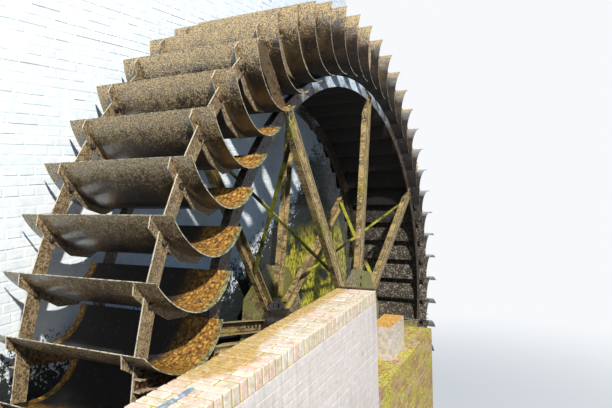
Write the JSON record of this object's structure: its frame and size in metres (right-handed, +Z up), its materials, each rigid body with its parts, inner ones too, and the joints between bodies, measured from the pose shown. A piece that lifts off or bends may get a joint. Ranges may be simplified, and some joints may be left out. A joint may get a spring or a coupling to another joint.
{
  "type": "water wheel of a watermill",
  "caption": "Steel breastshot water wheel with curved sheet buckets, in its brick wheel pit beside a length of white painted mill wall",
  "frame": {"origin": "the middle of the wheel on the centre line of its shaft", "axes": "+X downstream along the race, +Y along the shaft towards the mill wall, +Z up"},
  "size_m": [6.8204, 2.25, 7.8],
  "materials": {
    "wet_masonry": "dark wet brickwork with green moss",
    "painted_brick": "pale pink limewashed brick with faint streaks",
    "coping_brick": "cream and pink brick on edge with mossy joints",
    "white_brick": "white painted brick, dark and mossy low down",
    "limewashed_iron": "limewashed casing over rusty iron",
    "rusty_iron": "orange rust",
    "dark_steel": "dark rusty steel",
    "dark_iron": "dark greasy iron",
    "weathered_steel": "tan brown weathered steel",
    "mossy_steel": "rusty steel with yellow green moss",
    "bucket_steel": "wet brown rusty sheet with pale speckles and algae",
    "rusty_steel": "rust brown steel"
  },
  "bodies": {
    "mill": {"race_floor": "wet_masonry", "inlet_sill": "wet_masonry", "breast": "wet_masonry", "pit_wall": "painted_brick", "pit_wall_coping": "coping_brick", "pier_wall": "painted_brick", "bearing_base_near": "limewashed_iron", "bearing_hood_near": "rusty_iron", "edge_angle": "dark_steel", "coping_strap": "dark_steel", "mill_wall_left": "white_brick", "mill_wall_right": "white_brick", "mill_wall_base": "white_brick", "mill_wall_head": "white_brick", "bearing_base_far": "dark_iron", "bearing_cap_far": "dark_iron"},
    "wheel": {"shaft": "dark_steel", "hub_near": "dark_iron", "hub_far": "dark_iron", "hub_plate_near": "weathered_steel", "hub_plate_far": "weathered_steel", "ring_near": "weathered_steel", "ring_far": "weathered_steel", "spokes_near": "weathered_steel", "spokes_far": "weathered_steel", "braces": "mossy_steel", "buckets_1": "bucket_steel", "buckets_2": "bucket_steel", "buckets_3": "bucket_steel", "buckets_4": "bucket_steel", "buckets_5": "bucket_steel", "buckets_6": "bucket_steel", "buckets_7": "bucket_steel", "buckets_8": "bucket_steel", "brackets_near": "weathered_steel", "brackets_far": "weathered_steel", "tie_bars_near": "weathered_steel", "tie_bars_far": "weathered_steel", "struts_near": "rusty_steel", "struts_far": "rusty_steel"}
  },
  "joints": [
    {"name": "wheel_turn", "type": "hinge", "parent": "mill", "child": "wheel", "pos_m": [0, 0, 0], "axis": [0, -1, 0], "continuous": true}
  ]
}
